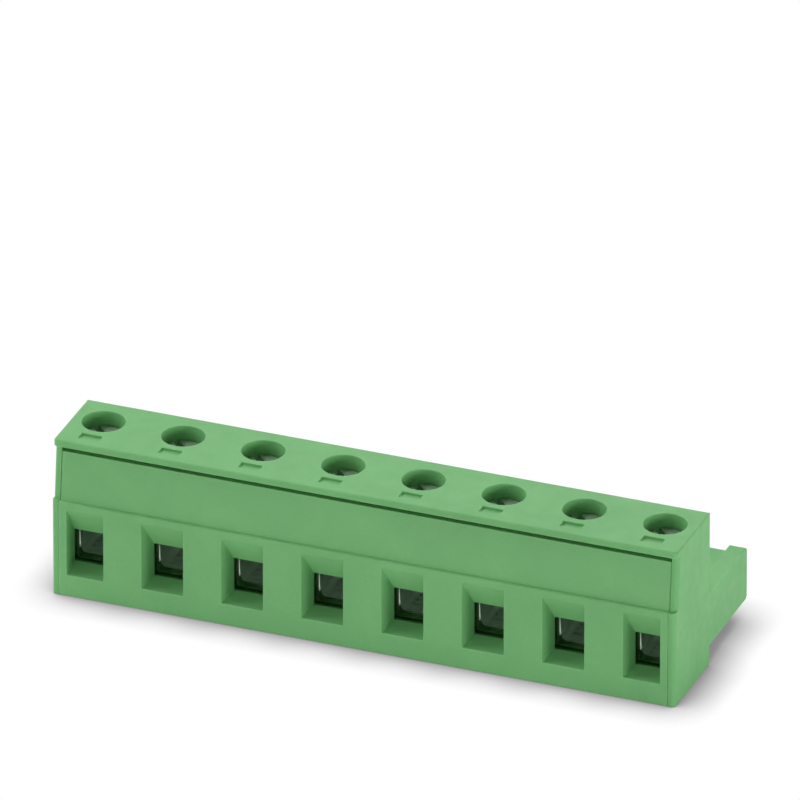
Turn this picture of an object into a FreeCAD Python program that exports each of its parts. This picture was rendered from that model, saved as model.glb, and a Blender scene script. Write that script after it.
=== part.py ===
import FreeCAD, Part
import math
import os

os.makedirs("parts", exist_ok=True)

# A pluggable screw terminal block. X runs along the row of poles, wires enter from -Y, the plug
# nose points to +Y and the block stands on its underside at Z = 0. All sizes in millimetres.

# The row of poles
poles = 8
pitch = 7.5
end_margin = 2.88

# Outside of the body
lip_setback = 0.43
lip_thickness = 0.6
lip_radius = 0.2
cheek_thickness = 0.66
corner_radius = 0.45

# Funnel front with its label panel
front_thickness = 2.8
ledge_height = 9.22
ledge_radius = 0.22
panel_foot_setback = 0.45
panel_top_setback = 0.95
foot_radius = 0.12
tab_width = 1.3
tab_height = 1.2
tab_length = 1.7
tab_lead = 0.3
tab_rise = 0.4
tab_drop = 0.75

# Wire funnels
mouth_half_width = 1.97
mouth_outer_half = 1.5
mouth_bottom = 2.08
mouth_brow = 0.68
throat_half_width = 1.49
throat_bottom = 2.6
throat_top = 5.76
funnel_depth = 1.85
throat_land = 0.15
funnel_end_wall = 0.4

# Screw bores in the top, each with a shallow pocket ahead of it
bore_radius = 1.94
shoulder_thickness = 0.6
shank_bore_radius = 1.6
pocket_width = 1.95
pocket_length = 1.03
pocket_setback = 3.65
pocket_depth = 0.25

# Walls round the clamp chambers
end_wall = 0.72
rear_wall = 0.48

# Plug nose
nose_length = 9.58
nose_inset = 0.1
nose_bottom = 1.76
nose_top = 6.11
nose_wall = 1.08
nose_end_wall = 0.9
nose_chamfer = 0.25
rib_rise = 0.72
rib_inner = 1.2
rib_width = 1.51
channel_half_width = 1.55
pin_hole_half = 0.75
pin_funnel = 0.4

# Clamp screw
head_sink = 1.35
head_radius = 1.85
head_height = 1.7
screw_radius = 1.45
tip_radius = 1.1
tip_taper = 0.4
slot_width = 0.65
slot_depth = 0.8
slot_angle = 135.0

# Clamp cage
clamp_travel = 2.5
cage_depth = 4.16
cage_wall = 0.63
cage_floor = 0.6
cage_sill = 0.31
cage_top = 1.5
cage_corner = 0.3
window_foot_radius = 0.6
groove_count = 4
groove_depth = 0.15
groove_width = 0.4

# Contact strip
strip_thickness = 0.6
leaf_thickness = 0.45
leaf_pinch = 0.42
leaf_flare = 0.85
leaf_step = 1.8
leaf_straight = 2.2
leaf_mouth = 1.4

# Clearances
seam_gap = 0.04
panel_gap = 0.64
tab_clearance = 0.04
head_gap = 0.1
tip_gap = 0.1
thread_clearance = 0.05
cage_side_gap = 0.16
cage_front_gap = 0.3
cage_rear_gap = 0.24
cage_floor_gap = 0.25
roof_gap = 0.4
bar_gap = 0.27
bar_side_gap = 0.15
bar_head_gap = 0.25
bar_front_gap = 0.3
leaf_gap = 0.2
socket_roof_gap = 0.2
socket_end_gap = 0.6

# Planes along Y: the body is as deep as what it houses, and Y = 0 is midway along the whole block
chamber_depth = cage_front_gap + cage_depth + cage_rear_gap + strip_thickness
total_depth = front_thickness + chamber_depth + rear_wall + nose_length
front_y = -total_depth / 2
nose_end_y = total_depth / 2
lip_y = front_y + lip_setback
panel_foot_y = front_y + panel_foot_setback
panel_top_y = front_y + panel_top_setback
joint_y = front_y + front_thickness
cage_front_y = joint_y + cage_front_gap
cage_rear_y = cage_front_y + cage_depth
screw_y = (cage_front_y + cage_rear_y) / 2
leg_front_y = cage_rear_y + cage_rear_gap
chamber_rear_y = leg_front_y + strip_thickness
body_rear_y = chamber_rear_y + rear_wall
channel_end_y = nose_end_y - nose_end_wall

# Levels along Z, from the wire throat up to the top face, which the screw heads lie below
mouth_top = ledge_height - mouth_brow
window_floor = throat_bottom + cage_sill
cage_bottom = window_floor - cage_floor
chamber_floor = cage_bottom - cage_floor_gap
channel_floor = nose_bottom + nose_wall
channel_roof = nose_top - nose_wall
pin_level = (channel_floor + channel_roof) / 2
bar_bottom = throat_top + bar_gap
bar_top = bar_bottom + strip_thickness
window_roof = bar_top + bar_head_gap
cage_crown = window_roof + cage_top
chamber_roof = cage_crown + clamp_travel + roof_gap
shoulder = chamber_roof + shoulder_thickness
head_bottom = shoulder + head_gap
head_top = head_bottom + head_height
tip_bottom = bar_top + tip_gap
height = head_top + head_sink
lip_underside = height - lip_thickness
panel_top = lip_underside - panel_gap
rib_top = nose_top + rib_rise

# Half widths along X
half_width = (poles - 1) * pitch / 2 + end_margin
recess_half = half_width - cheek_thickness
front_half = recess_half - seam_gap
nose_half = half_width - nose_inset
space_half = end_margin - cheek_thickness - seam_gap - funnel_end_wall
chamber_half = end_margin - end_wall
cage_half = chamber_half - cage_side_gap
window_half = cage_half - cage_wall
bar_half = window_half - bar_side_gap
leaf_spread = channel_half_width - leaf_gap

pole_x = [(i - (poles - 1) / 2) * pitch for i in range(poles)]
web_x = [(i - (poles - 2) / 2) * pitch for i in range(poles - 1)]
up = FreeCAD.Vector(0, 0, 1)


def block(x0, x1, y0, y1, z0, z1):
    return Part.makeBox(x1 - x0, y1 - y0, z1 - z0, FreeCAD.Vector(x0, y0, z0))


def along_x(points, x0, x1):
    ring = [FreeCAD.Vector(x0, y, z) for y, z in points]
    wire = Part.makePolygon(ring + [ring[0]])
    return Part.Face(wire).extrude(FreeCAD.Vector(x1 - x0, 0, 0))


# A form turned about the upright axis of one screw, from (radius, z) points
def turned(x, points):
    ring = [FreeCAD.Vector(x + r, screw_y, z) for r, z in points]
    wire = Part.makePolygon(ring + [ring[0]])
    return Part.Face(wire).revolve(FreeCAD.Vector(x, screw_y, 0), up, 360)


# A flat-sided funnel along Y between two openings, each given as (x0, x1, z0, z1)
def funnel(y0, front, y1, rear):
    fx0, fx1, fz0, fz1 = front
    rx0, rx1, rz0, rz1 = rear
    return Part.makeWedge(fx0, y0, fz0, rz0, rx0, fx1, y1, fz1, rz1, rx1)


def near(a, b):
    return abs(a - b) < 1e-4


def runs_along_y(box):
    return box.YLength > box.XLength + box.ZLength


def edges_where(shape, test):
    return [edge for edge in shape.Edges if test(edge.BoundBox)]


# A level outline of the body with its two front corners rounded
def body_outline(y, z):
    r = corner_radius
    turn = r * (1 - math.sqrt(0.5))
    corners = [
        FreeCAD.Vector(-half_width, body_rear_y, z),
        FreeCAD.Vector(-half_width, y + r, z),
        FreeCAD.Vector(-half_width + r, y, z),
        FreeCAD.Vector(half_width - r, y, z),
        FreeCAD.Vector(half_width, y + r, z),
        FreeCAD.Vector(half_width, body_rear_y, z),
    ]
    left_turn = FreeCAD.Vector(-half_width + turn, y + turn, z)
    right_turn = FreeCAD.Vector(half_width - turn, y + turn, z)
    return Part.Wire([
        Part.LineSegment(corners[0], corners[1]).toShape(),
        Part.Arc(corners[1], left_turn, corners[2]).toShape(),
        Part.LineSegment(corners[2], corners[3]).toShape(),
        Part.Arc(corners[3], right_turn, corners[4]).toShape(),
        Part.LineSegment(corners[4], corners[5]).toShape(),
        Part.LineSegment(corners[5], corners[0]).toShape(),
    ])


# Housing body: the foot, the cheeks that lean back with the label panel, and the lipped top
def body_block():
    foot = Part.Face(body_outline(front_y, 0.0)).extrude(up * ledge_height)
    cheek_foot = body_outline(panel_foot_y, ledge_height)
    cheeks = Part.makeLoft([cheek_foot, body_outline(panel_top_y, lip_underside)], True, True)
    top = Part.Face(body_outline(lip_y, lip_underside)).extrude(up * lip_thickness)
    rim = edges_where(top, lambda box: near(box.ZMin, height))
    return foot.fuse([cheeks, top.makeFillet(lip_radius, rim)])


# Plug nose: a long tongue with a pair of coding ribs over every pole
def nose_block():
    root_y = chamber_rear_y
    tongue = block(-nose_half, nose_half, root_y, nose_end_y, nose_bottom, nose_top)
    lead = edges_where(tongue, lambda box: near(box.YMin, nose_end_y) and near(box.ZMax, nose_bottom))
    tongue = tongue.makeChamfer(nose_chamfer, lead)
    ribs = []
    for x in pole_x:
        for side in (-1, 1):
            edges = (x + side * rib_inner, x + side * (rib_inner + rib_width))
            x0 = max(min(edges), -nose_half)
            x1 = min(max(edges), nose_half)
            rib = block(x0, x1, root_y, nose_end_y, pin_level, rib_top)
            lead = edges_where(rib, lambda box: near(box.YMin, nose_end_y) and near(box.ZMin, rib_top))
            ribs.append(rib.makeChamfer(nose_chamfer, lead))
    return tongue.fuse(ribs)


# One clamp chamber, open towards the funnel front
def chamber(x):
    x0 = x - chamber_half
    return block(x0, x + chamber_half, lip_y, chamber_rear_y, chamber_floor, chamber_roof)


# One screw bore: narrow for the shank up to the shoulder that carries the head, then wide
def screw_bore(x):
    return turned(x, [
        (0, chamber_roof),
        (shank_bore_radius, chamber_roof),
        (shank_bore_radius, shoulder),
        (bore_radius, shoulder),
        (bore_radius, height),
        (0, height),
    ])


def top_pocket(x):
    y0 = screw_y - pocket_setback
    x0 = x - pocket_width / 2
    return block(x0, x0 + pocket_width, y0, y0 + pocket_length, height - pocket_depth, height)


# The space for one pin socket in the nose, and the funnelled way in for the pin
def socket_channel(x):
    x0 = x - channel_half_width
    x1 = x + channel_half_width
    run = block(x0, x1, leg_front_y, channel_end_y, channel_floor, channel_roof)
    r = pin_hole_half
    small = (x - r, x + r, pin_level - r, pin_level + r)
    r += pin_funnel
    large = (x - r, x + r, pin_level - r, pin_level + r)
    waist_y = nose_end_y - pin_funnel
    hole = funnel(channel_end_y, small, waist_y, small)
    return run.fuse([hole, funnel(waist_y, small, nose_end_y, large)])


# The funnel front has tabs pressed into every second web between the chambers, low and high.
# A tab narrows towards its end; its pocket in the web is the same form, larger by a clearance.
def tab_places():
    high = panel_top - tab_drop - tab_height
    return [(x, z) for x in web_x[::2] for z in (tab_rise, high)]


def tab(x, z, gap):
    root = (x - tab_width / 2 - gap, x + tab_width / 2 + gap, z - gap, z + tab_height + gap)
    end = (root[0] + tab_lead, root[1] - tab_lead, root[2] + tab_lead, root[3] - tab_lead)
    root_y = joint_y - front_thickness / 2
    lead_y = joint_y + tab_length - tab_lead
    shaft = funnel(root_y, root, lead_y, root)
    return shaft.fuse(funnel(lead_y, root, joint_y + tab_length + gap, end))


def make_housing():
    solid = body_block().fuse(nose_block())
    recess = block(-recess_half, recess_half, front_y, joint_y, 0.0, lip_underside)
    cuts = [recess]
    for x in pole_x:
        cuts += [chamber(x), screw_bore(x), top_pocket(x), socket_channel(x)]
    cuts += [tab(x, z, tab_clearance) for x, z in tab_places()]
    return solid.cut(cuts).removeSplitter()


# Funnel front: the lower block with the funnels, and the label panel standing back above it
def front_block():
    profile = [
        (front_y, 0.0),
        (joint_y, 0.0),
        (joint_y, panel_top),
        (panel_top_y, panel_top),
        (panel_foot_y, ledge_height),
        (front_y, ledge_height),
    ]
    solid = along_x(profile, -front_half, front_half)
    ledge = edges_where(solid, lambda box: near(box.YMax, front_y) and near(box.ZMin, ledge_height))
    solid = solid.makeFillet(ledge_radius, ledge)
    foot = edges_where(solid, lambda box: near(box.YMax, front_y) and near(box.ZMax, 0.0))
    return solid.makeFillet(foot_radius, foot)


# One wire funnel, which opens out again behind its throat, down to the floor of the clamp
# chamber. The end poles have a narrower mouth on their outer side.
def wire_funnel(i, x):
    left = mouth_outer_half if i == 0 else mouth_half_width
    right = mouth_outer_half if i == poles - 1 else mouth_half_width
    mouth = (x - left, x + right, mouth_bottom, mouth_top)
    throat = (x - throat_half_width, x + throat_half_width, throat_bottom, throat_top)
    waist_y = front_y + funnel_depth
    land_y = waist_y + throat_land
    land = funnel(waist_y, throat, land_y, throat)
    space = block(x - space_half, x + space_half, land_y, joint_y, chamber_floor, bar_bottom)
    return funnel(front_y, mouth, waist_y, throat).fuse([land, space])


def make_funnel_front():
    solid = front_block().cut([wire_funnel(i, x) for i, x in enumerate(pole_x)])
    tabs = [tab(x, z, 0) for x, z in tab_places()]
    return solid.fuse(tabs).removeSplitter()


# Clamp screw: slotted cheese head, shank and a tapered tip that bears on the bar
def make_screw(x):
    solid = turned(x, [
        (0, tip_bottom),
        (tip_radius, tip_bottom),
        (screw_radius, tip_bottom + tip_taper),
        (screw_radius, head_bottom),
        (head_radius, head_bottom),
        (head_radius, head_top),
        (0, head_top),
    ])
    slot = block(
        -head_radius, head_radius, -slot_width / 2, slot_width / 2, head_top - slot_depth, head_top
    )
    slot.rotate(FreeCAD.Vector(0, 0, 0), up, slot_angle)
    slot.translate(FreeCAD.Vector(x, screw_y, 0))
    return solid.cut(slot)


# The window through one cage, with round corners at its floor
def cage_window(x):
    x0 = x - window_half
    x1 = x + window_half
    window = block(x0, x1, cage_front_y, cage_rear_y, window_floor, window_roof)
    low = edges_where(window, lambda box: runs_along_y(box) and near(box.ZMin, window_floor))
    return window.makeFillet(window_foot_radius, low)


# Clamp cage: a length of thick-walled section, tapped through its top, grooved on its floor
def make_cage(x):
    x0 = x - cage_half
    x1 = x + cage_half
    outer = block(x0, x1, cage_front_y, cage_rear_y, cage_bottom, cage_crown)
    outer = outer.makeFillet(cage_corner, edges_where(outer, runs_along_y))
    drill_end = cage_crown - cage_top - clamp_travel
    drill_radius = screw_radius + thread_clearance
    drill = [(0, drill_end), (drill_radius, drill_end), (drill_radius, cage_crown), (0, cage_crown)]
    cuts = [cage_window(x), turned(x, drill)]
    step = (cage_rear_y - cage_front_y) / (groove_count + 1)
    flat = window_half - window_foot_radius
    for i in range(groove_count):
        y = cage_front_y + (i + 1) * step
        section = [
            (y - groove_width / 2, window_floor),
            (y, window_floor - groove_depth),
            (y + groove_width / 2, window_floor),
        ]
        cuts.append(along_x(section, x - flat, x + flat))
    return outer.cut(cuts).removeSplitter()


# One socket leaf: steps out to the channel wall, springs in to pinch the pin, then flares
def socket_leaf(x, side):
    wall_y = leg_front_y + leaf_step
    end_y = channel_end_y - socket_end_gap
    outline = [
        (bar_half, leg_front_y),
        (leaf_spread, wall_y),
        (leaf_spread, wall_y + leaf_straight),
        (leaf_pinch + leaf_thickness, end_y - leaf_mouth),
        (leaf_flare + leaf_thickness, end_y),
    ]
    back = [(u - leaf_thickness, y) for u, y in reversed(outline)]
    ring = [FreeCAD.Vector(x + side * u, y, channel_floor) for u, y in outline + back]
    wire = Part.makePolygon(ring + [ring[0]])
    return Part.Face(wire).extrude(up * (channel_roof - socket_roof_gap - channel_floor))


# Contact: the bar over the wire, its bend down the rear wall and the two socket leaves
def make_contact(x):
    profile = [
        (joint_y + bar_front_gap, bar_bottom),
        (leg_front_y, bar_bottom),
        (leg_front_y, channel_floor),
        (chamber_rear_y, channel_floor),
        (chamber_rear_y, bar_top),
        (joint_y + bar_front_gap, bar_top),
    ]
    strip = along_x(profile, x - bar_half, x + bar_half)
    bend = edges_where(strip, lambda box: near(box.YMin, chamber_rear_y) and near(box.ZMin, bar_top))
    strip = strip.makeFillet(strip_thickness, bend)
    return strip.fuse([socket_leaf(x, -1), socket_leaf(x, 1)]).removeSplitter()


def save(shape, name):
    shape.exportStep("parts/" + name + ".step")


save(make_housing(), "housing")
save(make_funnel_front(), "funnel_front")
for i, x in enumerate(pole_x):
    save(make_screw(x), "clamp_screw_%d" % (i + 1))
    save(make_cage(x), "clamp_cage_%d" % (i + 1))
    save(make_contact(x), "contact_%d" % (i + 1))
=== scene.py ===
import math
import bmesh
import bpy
from mathutils import Matrix, Vector
from mathutils.kdtree import KDTree


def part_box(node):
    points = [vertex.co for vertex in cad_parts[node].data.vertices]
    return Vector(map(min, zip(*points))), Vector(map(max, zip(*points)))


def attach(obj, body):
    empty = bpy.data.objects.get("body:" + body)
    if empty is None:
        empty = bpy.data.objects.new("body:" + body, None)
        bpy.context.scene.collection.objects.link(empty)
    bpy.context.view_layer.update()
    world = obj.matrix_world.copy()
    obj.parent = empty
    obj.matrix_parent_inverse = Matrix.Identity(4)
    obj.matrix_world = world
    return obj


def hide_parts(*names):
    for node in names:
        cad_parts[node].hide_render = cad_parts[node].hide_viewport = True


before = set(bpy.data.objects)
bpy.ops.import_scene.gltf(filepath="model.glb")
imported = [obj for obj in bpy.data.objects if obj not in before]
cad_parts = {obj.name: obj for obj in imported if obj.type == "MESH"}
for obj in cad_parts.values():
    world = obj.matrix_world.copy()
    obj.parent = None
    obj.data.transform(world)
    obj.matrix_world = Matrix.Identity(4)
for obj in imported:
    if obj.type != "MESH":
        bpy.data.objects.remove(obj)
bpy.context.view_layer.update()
scene = bpy.context.scene
scene.view_settings.view_transform = "Standard"


# The camera stands over two metres away with a long lens, as for a catalogue picture. It is
# turned towards the right-hand end of the block and looks down, so the row falls to the right.
azimuth = math.radians(21.217)
elevation = math.radians(27.85)
distance = 2.378
picture_width = 0.069885
block_middle = Vector((0, 0, 0.0075))
aim_right = 0.000028
aim_up = 0.011261

right = Vector((math.cos(azimuth), math.sin(azimuth), 0))
back = Vector((
    math.sin(azimuth) * math.cos(elevation),
    -math.cos(azimuth) * math.cos(elevation),
    math.sin(elevation),
))
up = back.cross(right)
place = block_middle + right * aim_right + up * aim_up + back * distance
camera = bpy.data.objects.new("camera", bpy.data.cameras.new("camera"))
camera.matrix_world = Matrix.Translation(place) @ Matrix((right, up, back)).transposed().to_4x4()
camera.data.sensor_width = 36
camera.data.lens = 36 * distance / picture_width
camera.data.clip_start = 0.1
camera.data.clip_end = 20
scene.collection.objects.link(camera)
scene.camera = camera


# Soft studio light: a wide diffuser high on the left, low ones in front and to the right, and
# one behind. What the camera and glossy surfaces see of the tent round them is plain white.
tent_light = 0.07
left_light = 3.65
right_light = 3.1
low_light = 2.6
rear_light = 1.85


def add(tree, kind, inputs=None, **settings):
    made = tree.nodes.new(kind)
    for key, value in settings.items():
        setattr(made, key, value)
    for name, value in (inputs or {}).items():
        if isinstance(value, bpy.types.NodeSocket):
            tree.links.new(value, made.inputs[name])
        else:
            made.inputs[name].default_value = value
    return made


def seen_directly(tree):
    path = add(tree, "ShaderNodeLightPath").outputs
    shiny = {0: path["Is Glossy Ray"], 1: path["Is Transmission Ray"]}
    either = add(tree, "ShaderNodeMath", shiny, operation="MAXIMUM").outputs[0]
    every = {0: path["Is Camera Ray"], 1: either}
    return add(tree, "ShaderNodeMath", every, operation="MAXIMUM").outputs[0]


def soft_lamp(name, place, size, light):
    lamp = bpy.data.lights.new(name, "AREA")
    lamp.shape = "RECTANGLE"
    lamp.size = size[0]
    lamp.size_y = size[1]
    lamp.energy = light
    made = bpy.data.objects.new(name, lamp)
    made.location = place
    made.rotation_euler = (block_middle - Vector(place)).to_track_quat("-Z", "Y").to_euler()
    scene.collection.objects.link(made)


tent = bpy.data.worlds.new("tent")
tent.use_nodes = True
tent.node_tree.nodes.clear()
scene.world = tent
lit = add(tent.node_tree, "ShaderNodeBackground", {"Color": (1, 1, 1, 1), "Strength": tent_light})
seen = add(tent.node_tree, "ShaderNodeBackground", {"Color": (1, 1, 1, 1), "Strength": 1.0})
both = add(tent.node_tree, "ShaderNodeMixShader", {
    0: seen_directly(tent.node_tree), 1: lit.outputs[0], 2: seen.outputs[0]})
add(tent.node_tree, "ShaderNodeOutputWorld", {"Surface": both.outputs[0]})
soft_lamp("left_diffuser", (-0.42, 0.06, 0.55), (0.5, 0.5), left_light)
soft_lamp("right_diffuser", (0.79, -0.03, 0.13), (0.5, 0.2), right_light)
soft_lamp("front_diffuser", (-0.1, -0.8, 0.12), (1.0, 0.24), low_light)
soft_lamp("rear_diffuser", (0.0, 0.6, 0.5), (0.5, 0.3), rear_light)


# The table under the block is white paper, shown plain white. A painted shadow darkens it only
# where the block stands over it or close beside it.
table_half = 3.0
table_drop = 0.00002
shadow_reach = 0.0040
shadow_tone = 0.25
darkest_at = 0.42
shadow_lean = (-0.15, -0.06, 0.0)
paper_white = (0.88, 0.88, 0.88, 1)


def new_material(name):
    made = bpy.data.materials.new(name)
    made.use_nodes = True
    made.node_tree.nodes.clear()
    return made, made.node_tree


def piece(name, mesh, material):
    made = bpy.data.objects.new(name, mesh)
    mesh.materials.append(material)
    scene.collection.objects.link(made)
    return made


paper, tree = new_material("white_paper")
level = add(tree, "ShaderNodeNewGeometry").outputs["Normal"]
leaning = add(tree, "ShaderNodeVectorMath", {0: level, 1: shadow_lean}, operation="ADD").outputs[0]
leaning = add(tree, "ShaderNodeVectorMath", {0: leaning}, operation="NORMALIZE").outputs[0]
# Painted shadow: the paper's seen colour darkens where the block shuts out the sky
shut_in = add(tree, "ShaderNodeAmbientOcclusion", {
    "Distance": shadow_reach, "Normal": leaning}, samples=32)
shade = add(tree, "ShaderNodeMapRange", {
    "Value": shut_in.outputs["AO"], "From Min": darkest_at, "To Min": shadow_tone})
bright = add(tree, "ShaderNodeEmission", {"Color": shade.outputs[0], "Strength": 1.0})
plain = add(tree, "ShaderNodeBsdfDiffuse", {"Color": paper_white})
both = add(tree, "ShaderNodeMixShader", {
    0: seen_directly(tree), 1: plain.outputs[0], 2: bright.outputs[0]})
add(tree, "ShaderNodeOutputMaterial", {"Surface": both.outputs[0]})
mesh = bpy.data.meshes.new("table")
corners = [(-1, -1), (1, -1), (1, 1), (-1, 1)]
corners = [(x * table_half, y * table_half, -table_drop) for x, y in corners]
mesh.from_pydata(corners, [], [(0, 1, 2, 3)])
piece("table", mesh, paper)


# The housing is one injection moulding in green glass-filled plastic. The tool leaves a fine
# sparked skin on it and small rounds on every edge; the outer ones are painted paler as a
# highlight.
# Lengths of the pieces are in millimetres.
housing_round = 0.07
same_point = 0.002
round_weld = 0.0002
flat_turn = math.radians(0.2)
edge_turn = math.radians(25)
open_corner = math.radians(40)
moulded_crease = math.radians(50)
nose_start = -0.6
nose_half = 29.03
rib_ledge = 0.1
housing_dark = (0.157, 0.424, 0.157, 1)
housing_light = (0.183, 0.486, 0.183, 1)
# Paler green painted on the outer edges as a highlight
housing_highlight = (0.34, 0.70, 0.34, 1)


def meet_openly(edge, other):
    shared = set(edge.verts) & set(other.verts)
    if edge == other or not shared:
        return edge == other
    corner = shared.pop()
    away = edge.other_vert(corner).co - corner.co
    return away.angle(other.other_vert(corner).co - corner.co) > open_corner


# The edges that have room for a round: no other one runs close beside their middle
def roomy(edges, width):
    marks = []
    for edge in edges:
        a, b = (vert.co for vert in edge.verts)
        steps = math.ceil((b - a).length / width)
        marks += [(edge, a.lerp(b, (k + 0.5) / steps)) for k in range(steps)]
    tree = KDTree(len(marks))
    for i, (edge, spot) in enumerate(marks):
        tree.insert(spot, i)
    tree.balance()
    kept = []
    for edge in edges:
        middle = (edge.verts[0].co + edge.verts[1].co) / 2
        beside = {marks[i][0] for spot, i, gap in tree.find_range(middle, 2 * width)}
        if all(meet_openly(edge, other) for other in beside):
            kept.append(edge)
    return kept


# A form drawn in millimetres as a mesh in metres, smooth except over its creases
def finished(form, name, crease):
    bmesh.ops.scale(form, vec=(0.001, 0.001, 0.001), verts=form.verts)
    for face in form.faces:
        face.smooth = True
    for edge in form.edges:
        edge.smooth = not edge.is_manifold or edge.calc_face_angle() < crease
    mesh = bpy.data.meshes.new(name)
    form.to_mesh(mesh)
    form.free()
    return mesh


# Edges of a piece rounded by a width in millimetres, on a copy of its solid
def rounded(node, name, width, trim=None):
    form = bmesh.new()
    form.from_mesh(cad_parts[node].data)
    bmesh.ops.scale(form, vec=(1000, 1000, 1000), verts=form.verts)
    if trim:
        trim(form)
    bmesh.ops.remove_doubles(form, verts=form.verts, dist=same_point)
    bmesh.ops.dissolve_limit(form, angle_limit=flat_turn, verts=form.verts, edges=form.edges)
    sharp = [edge for edge in form.edges if edge.is_manifold and edge.calc_face_angle() > edge_turn]
    bmesh.ops.bevel(form, geom=roomy(sharp, width), offset=width, offset_type="OFFSET",
                    segments=2, profile=0.5, affect="EDGES", clamp_overlap=False)
    bmesh.ops.remove_doubles(form, verts=form.verts, dist=round_weld)
    return finished(form, name, moulded_crease)


# Shading normals that follow the large faces, so that they stay flat between their rounds
def flat_faces(made):
    settings = made.modifiers.new("flat_faces", "WEIGHTED_NORMAL")
    settings.weight = 80
    settings.keep_sharp = True


def group(name, ins, outs):
    made = bpy.data.node_groups.new(name, "ShaderNodeTree")
    for word, kind in ins:
        made.interface.new_socket(word, in_out="INPUT", socket_type=kind)
    for word, kind in outs:
        made.interface.new_socket(word, in_out="OUTPUT", socket_type=kind)
    return made, add(made, "NodeGroupInput").outputs, add(made, "NodeGroupOutput").inputs


def use(tree, made, inputs):
    placed = tree.nodes.new("ShaderNodeGroup")
    placed.node_tree = made
    for name, value in inputs.items():
        placed.inputs[name].default_value = value
    return placed.outputs


def math_node(tree, operation, a, b=0.0):
    return add(tree, "ShaderNodeMath", {0: a, 1: b}, operation=operation).outputs[0]


def mixed(tree, factor, a, b):
    made = tree.nodes.new("ShaderNodeMix")
    made.data_type = "RGBA"
    for socket, value in ((0, factor), (6, a), (7, b)):
        if isinstance(value, bpy.types.NodeSocket):
            tree.links.new(value, made.inputs[socket])
        else:
            made.inputs[socket].default_value = value
    return made.outputs[2]


# Moulded skin: slow flow clouds in the colour, a patchy gloss and the sparked grain
moulded_skin, ins, outs = group("moulded_skin", [
    ("Dark", "NodeSocketColor"), ("Light", "NodeSocketColor"),
    ("Smooth", "NodeSocketFloat"), ("Rough", "NodeSocketFloat")], [
    ("Color", "NodeSocketColor"), ("Roughness", "NodeSocketFloat"), ("Height", "NodeSocketFloat")])
where = add(moulded_skin, "ShaderNodeTexCoord").outputs["Object"]
clouds = add(moulded_skin, "ShaderNodeTexNoise", {
    "Vector": where, "Scale": 140.0, "Detail": 3.0, "Roughness": 0.6, "Distortion": 0.8})
patches = add(moulded_skin, "ShaderNodeTexNoise", {"Vector": where, "Scale": 900.0, "Detail": 2.0})
grain = add(moulded_skin, "ShaderNodeTexNoise", {
    "Vector": where, "Scale": 7000.0, "Detail": 2.0, "Roughness": 0.6})
speck = math_node(moulded_skin, "MULTIPLY", grain.outputs[0], 0.35)
cloud = math_node(moulded_skin, "MULTIPLY", clouds.outputs[0], 0.65)
tone = math_node(moulded_skin, "ADD", speck, cloud)
spread = add(moulded_skin, "ShaderNodeMapRange", {
    "Value": tone, "From Min": 0.35, "From Max": 0.65})
colour = mixed(moulded_skin, spread.outputs[0], ins["Dark"], ins["Light"])
moulded_skin.links.new(colour, outs["Color"])
gloss = add(moulded_skin, "ShaderNodeMapRange", {
    "Value": patches.outputs[0], "From Min": 0.3, "From Max": 0.7,
    "To Min": ins["Smooth"], "To Max": ins["Rough"]})
moulded_skin.links.new(gloss.outputs[0], outs["Roughness"])
moulded_skin.links.new(grain.outputs[0], outs["Height"])

# Edges: a mask of painted highlight on the outer edges, with gaps in it, and one of painted
# shade in the inner corners
edge_highlight_and_shade, ins, outs = group("edge_highlight_and_shade", [
    ("Width", "NodeSocketFloat"), ("Breaks", "NodeSocketFloat")], [
    ("Highlight", "NodeSocketFloat"), ("Corner shade", "NodeSocketFloat")])
turned = add(edge_highlight_and_shade, "ShaderNodeBevel", {"Radius": ins["Width"]}, samples=6).outputs[0]
facing = add(edge_highlight_and_shade, "ShaderNodeNewGeometry").outputs["Normal"]
agree = add(edge_highlight_and_shade, "ShaderNodeVectorMath", {0: turned, 1: facing}, operation="DOT_PRODUCT")
bent = add(edge_highlight_and_shade, "ShaderNodeMapRange", {
    "Value": agree.outputs["Value"], "From Min": 0.995, "From Max": 0.86})
open_sky = add(edge_highlight_and_shade, "ShaderNodeAmbientOcclusion", {"Distance": 0.0004}, samples=8)
outer = add(edge_highlight_and_shade, "ShaderNodeMapRange", {
    "Value": open_sky.outputs["AO"], "From Min": 0.75, "From Max": 0.95})
# Painted shade: inner corners, where little open sky is seen
inner = add(edge_highlight_and_shade, "ShaderNodeMapRange", {
    "Value": open_sky.outputs["AO"], "From Min": 0.75, "From Max": 0.45})
where = add(edge_highlight_and_shade, "ShaderNodeTexCoord").outputs["Object"]
gaps = add(edge_highlight_and_shade, "ShaderNodeTexNoise", {
    "Vector": where, "Scale": ins["Breaks"], "Detail": 2.0})
gaps = add(edge_highlight_and_shade, "ShaderNodeMapRange", {
    "Value": gaps.outputs[0], "From Min": 0.3, "From Max": 0.65})
# Painted highlight: turned outer edges in the open, with gaps
highlit_edges = math_node(edge_highlight_and_shade, "MULTIPLY", bent.outputs[0], outer.outputs[0])
edge_highlight_and_shade.links.new(math_node(edge_highlight_and_shade, "MULTIPLY", highlit_edges, gaps.outputs[0]), outs["Highlight"])
edge_highlight_and_shade.links.new(inner.outputs[0], outs["Corner shade"])


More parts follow.
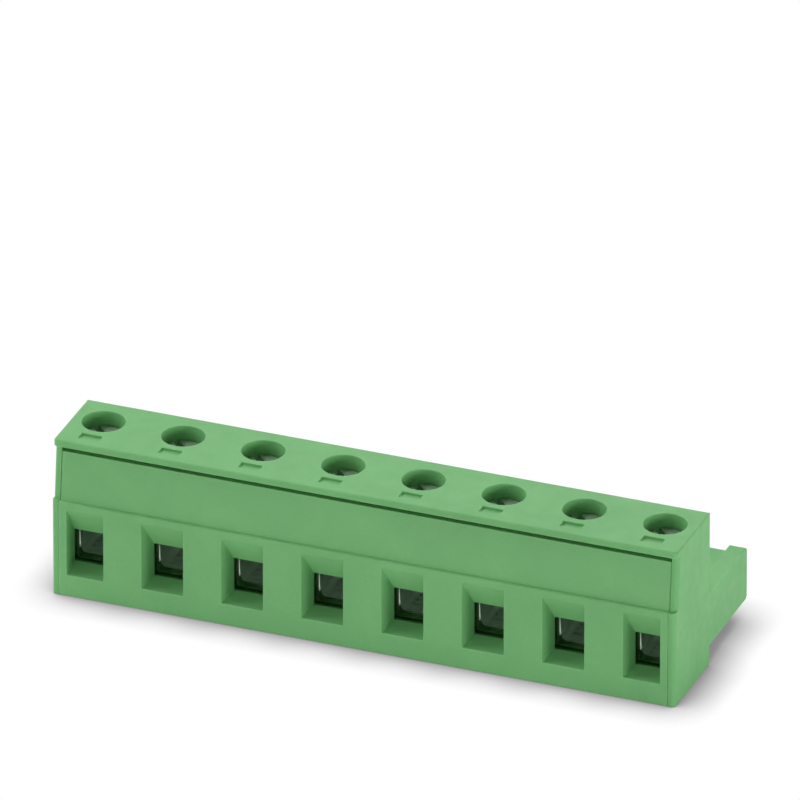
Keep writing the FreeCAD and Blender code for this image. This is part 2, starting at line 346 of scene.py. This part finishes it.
def green_plastic(name, dark, light, highlight_colour):
    made, tree = new_material(name)
    skin = use(tree, moulded_skin, {"Dark": dark, "Light": light, "Smooth": 0.42, "Rough": 0.56})
    edges = use(tree, edge_highlight_and_shade, {"Width": 0.00018, "Breaks": 600.0})
    # Painted highlight: outer edges mixed towards the paler colour
    highlight_share = math_node(tree, "MULTIPLY", edges["Highlight"], 0.8)
    highlit_colour = mixed(tree, highlight_share, skin["Color"], highlight_colour)
    # Painted shade: inner corners mixed towards a darker green
    corner_shade = math_node(tree, "MULTIPLY", edges["Corner shade"], 0.1)
    colour = mixed(tree, corner_shade, highlit_colour, tuple(0.6 * c for c in dark[:3]) + (1,))
    bump = add(tree, "ShaderNodeBump", {
        "Height": skin["Height"], "Strength": 0.25, "Distance": 0.00003})
    surface = add(tree, "ShaderNodeBsdfPrincipled", {
        "Base Color": colour, "Roughness": skin["Roughness"], "Normal": bump.outputs[0],
        "Specular IOR Level": 0.2})
    add(tree, "ShaderNodeOutputMaterial", {"Surface": surface.outputs[0]})
    return made


# The outermost ribs of the nose run flush into its two ends
def flush_ribs(form):
    for vert in form.verts:
        ledge = nose_half - abs(vert.co.x)
        if vert.co.y > nose_start and 0 < ledge < rib_ledge:
            vert.co.x = math.copysign(nose_half, vert.co.x)


housing = piece("housing_moulding",
                rounded("housing", "housing_moulding", housing_round, flush_ribs),
                green_plastic("housing_green", housing_dark, housing_light, housing_highlight))
flat_faces(housing)
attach(housing, "housing")
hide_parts("housing")


# The funnel front is a second green moulding, pressed in between the housing's cheeks by its
# tabs. It has the label panel above and a funnel for each wire below.
front_round = 0.07
front_fit = 0.034
front_dark = (0.174, 0.440, 0.171, 1)
front_light = (0.198, 0.500, 0.195, 1)
# Paler green painted on the outer edges as a highlight
front_highlight = (0.34, 0.70, 0.34, 1)

front = piece("front_moulding", rounded("funnel_front", "front_moulding", front_round),
              green_plastic("front_green", front_dark, front_light, front_highlight))

# Both ends are drawn out by the fit, so that the seam beside each cheek looks closed
fit = front_fit / 1000
front_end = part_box("funnel_front")[1].x - fit
for corner in front.data.vertices:
    if abs(corner.co.x) > front_end:
        corner.co.x += math.copysign(fit, corner.co.x)
flat_faces(front)
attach(front, "housing")
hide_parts("funnel_front")


# Clamp screws are turned from steel wire and zinc plated: a slotted cheese head, a rolled
# thread of half a millimetre for each turn and a tapered tip. The housing's shoulder holds them.
thread_pitch = 0.5
thread_depth = 0.28
thread_columns = 40
crest_share = (0.0, 0.125, 0.4375, 0.6875)
screw_radius = 1.45
tip_radius = 1.1
tip_taper = 0.4
neck_length = 0.35
head_radius = 1.85
head_height = 1.7
head_chamfer = 0.16
edge_break = 0.06
slot_width = 0.65
slot_depth = 0.8
slot_turn = math.radians(135)
turned_crease = math.radians(35)
thread_weld = 0.0002
zinc_dark = (0.50, 0.52, 0.50, 1)
zinc_light = (0.66, 0.68, 0.65, 1)


# The screw's outline from the tip up, as (height, radius) in millimetres. The middle part is
# one column of the thread, whose rows climb by one pitch over a full turn.
def screw_outline(bottom, top):
    root = screw_radius - thread_depth
    neck = top - head_height
    start = bottom + tip_taper
    end = neck - neck_length
    turns = int((end - start) / thread_pitch) + 3
    radii = (screw_radius, screw_radius, root, root)
    thread = []
    for row in range(4 * turns):
        climb = row // 4 - 1 + crest_share[row % 4]
        thread.append((start + thread_pitch * climb, radii[row % 4]))
    tip = [(bottom, tip_radius - edge_break), (bottom + edge_break, tip_radius)]
    head = [
        (neck, root + edge_break),
        (neck, head_radius - edge_break),
        (neck + edge_break, head_radius),
        (top - head_chamfer, head_radius),
        (top - edge_break, head_radius - head_chamfer / 2),
        (top, head_radius - head_chamfer),
    ]
    return tip, thread, head, start, end, root


def screw_form(bottom, top):
    tip, thread, head, start, end, root = screw_outline(bottom, top)
    first = len(tip)
    last = first + len(thread)
    form = bmesh.new()
    columns = []
    for i in range(thread_columns):
        angle = 2 * math.pi * i / thread_columns
        rows = []
        for height, radius in thread:
            height = min(max(height + thread_pitch * i / thread_columns, start), end)
            fade = min(1, (height - start) / thread_pitch, (end - height) / thread_pitch)
            rows.append((height, root + (radius - root) * fade))
        outline = [(r * math.cos(angle), r * math.sin(angle), z) for z, r in tip + rows + head]
        columns.append([form.verts.new(point) for point in outline])
    for i, column in enumerate(columns):
        beside = list(columns[(i + 1) % thread_columns])
        if i == thread_columns - 1:
            beside[first:last] = beside[first + 4:last] + [beside[last - 1]] * 4
        for row in range(len(column) - 1):
            corners = dict.fromkeys((column[row], beside[row], beside[row + 1], column[row + 1]))
            if len(corners) > 2:
                form.faces.new(list(corners))
    form.faces.new([column[0] for column in reversed(columns)])
    form.faces.new([column[-1] for column in columns])
    bmesh.ops.remove_doubles(form, verts=form.verts, dist=thread_weld)
    return form


def box_form(width, depth, low, high, turn):
    form = bmesh.new()
    size = Matrix.Diagonal((width, depth, high - low, 1))
    place = Matrix.Translation((0, 0, (low + high) / 2)) @ Matrix.Rotation(turn, 4, "Z")
    bmesh.ops.create_cube(form, size=1, matrix=place @ size)
    return form


# One form cut out of another; both are used up
def cut_away(form, tool):
    shapes = []
    for source in (form, tool):
        mesh = bpy.data.meshes.new("blank")
        source.to_mesh(mesh)
        source.free()
        shapes.append(bpy.data.objects.new("blank", mesh))
        scene.collection.objects.link(shapes[-1])
    cut = shapes[0].modifiers.new("cut", "BOOLEAN")
    cut.operation = "DIFFERENCE"
    cut.solver = "EXACT"
    cut.object = shapes[1]
    seen = shapes[0].evaluated_get(bpy.context.evaluated_depsgraph_get())
    left = bmesh.new()
    left.from_mesh(seen.to_mesh())
    for shape in shapes:
        bpy.data.objects.remove(shape)
    return left


# Plated metal: slightly uneven tone, streaks along the way it was worked and dull patches
plated, ins, outs = group("plated", [
    ("Dark", "NodeSocketColor"), ("Light", "NodeSocketColor"), ("Smooth", "NodeSocketFloat"),
    ("Rough", "NodeSocketFloat"), ("Along", "NodeSocketVector")], [
    ("Color", "NodeSocketColor"), ("Roughness", "NodeSocketFloat"), ("Height", "NodeSocketFloat")])
streaks = add(plated, "ShaderNodeTexNoise", {"Vector": ins["Along"], "Scale": 1.0, "Detail": 3.0})
where = add(plated, "ShaderNodeTexCoord").outputs["Object"]
bloom = add(plated, "ShaderNodeTexNoise", {"Vector": where, "Scale": 1100.0, "Detail": 3.0})
spread = add(plated, "ShaderNodeMapRange", {
    "Value": bloom.outputs[0], "From Min": 0.35, "From Max": 0.65})
colour = mixed(plated, spread.outputs[0], ins["Dark"], ins["Light"])
plated.links.new(colour, outs["Color"])
streak = math_node(plated, "MULTIPLY", streaks.outputs[0], 0.5)
patch = math_node(plated, "MULTIPLY", bloom.outputs[0], 0.5)
tone = math_node(plated, "ADD", streak, patch)
gloss = add(plated, "ShaderNodeMapRange", {
    "Value": tone, "From Min": 0.35, "From Max": 0.65,
    "To Min": ins["Smooth"], "To Max": ins["Rough"]})
plated.links.new(gloss.outputs[0], outs["Roughness"])
plated.links.new(streaks.outputs[0], outs["Height"])


# Deep inside a piece the plating is made rougher, and its colour is painted darker and green,
# as shade and a reflection of the green plastic round it
hollow_reach = 0.003
hollow_shade = (0.34, 0.52, 0.36, 1)


def plated_metal(name, dark, light, smooth, rough, worked, dull_and_shade=0.0):
    made, tree = new_material(name)
    along = worked(tree, add(tree, "ShaderNodeTexCoord").outputs["Object"])
    skin = use(tree, plated, {"Dark": dark, "Light": light, "Smooth": smooth, "Rough": rough})
    tree.links.new(along, skin["Color"].node.inputs["Along"])
    edges = use(tree, edge_highlight_and_shade, {"Width": 0.00006, "Breaks": 1500.0})
    # Painted highlight: outer edges mixed towards a lighter metal colour
    highlight_share = math_node(tree, "MULTIPLY", edges["Highlight"], 0.5)
    colour = mixed(tree, highlight_share, skin["Color"], tuple(min(1, 1.25 * c) for c in light[:3]) + (1,))
    # Painted shade: inner corners mixed towards a darker metal colour
    corner_shade = math_node(tree, "MULTIPLY", edges["Corner shade"], 0.2)
    colour = mixed(tree, corner_shade, colour, tuple(0.4 * c for c in dark[:3]) + (1,))
    gloss = skin["Roughness"]
    if dull_and_shade:
        open_sky = add(tree, "ShaderNodeAmbientOcclusion", {
            "Distance": hollow_reach}, samples=8, only_local=True)
        inside = add(tree, "ShaderNodeMapRange", {
            "Value": open_sky.outputs["AO"], "From Min": 0.95, "From Max": 0.72,
            "To Max": dull_and_shade}).outputs[0]
        # Painted shade and green reflection deep inside the piece
        colour = mixed(tree, inside, colour, hollow_shade)
        matt = math_node(tree, "MULTIPLY", inside, 0.8)
        gloss = math_node(tree, "MAXIMUM", gloss, matt)
    bump = add(tree, "ShaderNodeBump", {
        "Height": skin["Height"], "Strength": 0.2, "Distance": 0.00001})
    surface = add(tree, "ShaderNodeBsdfPrincipled", {
        "Base Color": colour, "Metallic": 1.0, "Roughness": gloss, "Normal": bump.outputs[0]})
    add(tree, "ShaderNodeOutputMaterial", {"Surface": surface.outputs[0]})
    return made


# Turning marks lie in rings about the screw's axis; drawn metal has its marks along Y
marks_out = 9000.0
marks_up = 3000.0
drawn_marks = (6000.0, 350.0, 6000.0)


def rings(tree, where):
    parts = add(tree, "ShaderNodeSeparateXYZ", {0: where}).outputs
    flat = add(tree, "ShaderNodeCombineXYZ", {0: parts[0], 1: parts[1]}).outputs[0]
    out = add(tree, "ShaderNodeVectorMath", {0: flat}, operation="LENGTH").outputs["Value"]
    across = math_node(tree, "MULTIPLY", out, marks_out)
    height = math_node(tree, "MULTIPLY", parts[2], marks_up)
    return add(tree, "ShaderNodeCombineXYZ", {0: across, 1: height}).outputs[0]


def drawn_along_y(tree, where):
    scaled = {0: where, 1: drawn_marks}
    return add(tree, "ShaderNodeVectorMath", scaled, operation="MULTIPLY").outputs[0]


zinc = plated_metal("zinc_plate", zinc_dark, zinc_light, 0.24, 0.42, rings)
low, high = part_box("clamp_screw_1")
bottom, top = low.z * 1000, high.z * 1000
screw = cut_away(screw_form(bottom, top),
                 box_form(2 * head_radius + 1, slot_width, top - slot_depth, top + 1, slot_turn))
screw = finished(screw, "clamp_screw", turned_crease)
poles = sum(1 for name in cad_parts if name.startswith("clamp_screw"))
for pole in range(1, poles + 1):
    low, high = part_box("clamp_screw_%d" % pole)
    made = piece("screw_%d" % pole, screw.copy(), zinc)
    made.location = ((low.x + high.x) / 2, (low.y + high.y) / 2, 0)
    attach(made, "screw_%d" % pole)
    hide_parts("clamp_screw_%d" % pole)


# Clamp cages are cut from a thick-walled brass section and nickel plated. The thread through
# the top takes the screw and the grooved floor grips the wire.
cage_round = 0.24
nickel_dark = (0.40, 0.45, 0.38, 1)
nickel_light = (0.54, 0.59, 0.50, 1)

nickel = plated_metal("nickel_plate", nickel_dark, nickel_light, 0.11, 0.17,
                      drawn_along_y, dull_and_shade=0.9)

# One rounded section serves every pole
section = rounded("clamp_cage_4", "cage_section", cage_round)
section_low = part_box("clamp_cage_4")[0]
for pole in range(1, poles + 1):
    node = "clamp_cage_%d" % pole
    made = piece("cage_%d" % pole, section.copy(), nickel)
    made.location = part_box(node)[0] - section_low
    flat_faces(made)
    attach(made, "cage_%d" % pole)
    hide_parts(node)


# Contacts are stamped and bent from tinned copper strip: the bar over the wire, its leg down
# the rear wall and two spring leaves in the nose that pinch a pin.
contact_round = 0.04
tin_dark = (0.52, 0.54, 0.50, 1)
tin_light = (0.66, 0.68, 0.64, 1)

tin = plated_metal("tin_plate", tin_dark, tin_light, 0.42, 0.58, drawn_along_y)
for pole in range(1, poles + 1):
    node = "contact_%d" % pole
    made = piece("contact_strip_%d" % pole, rounded(node, node + "_strip", contact_round), tin)
    flat_faces(made)
    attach(made, "housing")
    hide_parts(node)
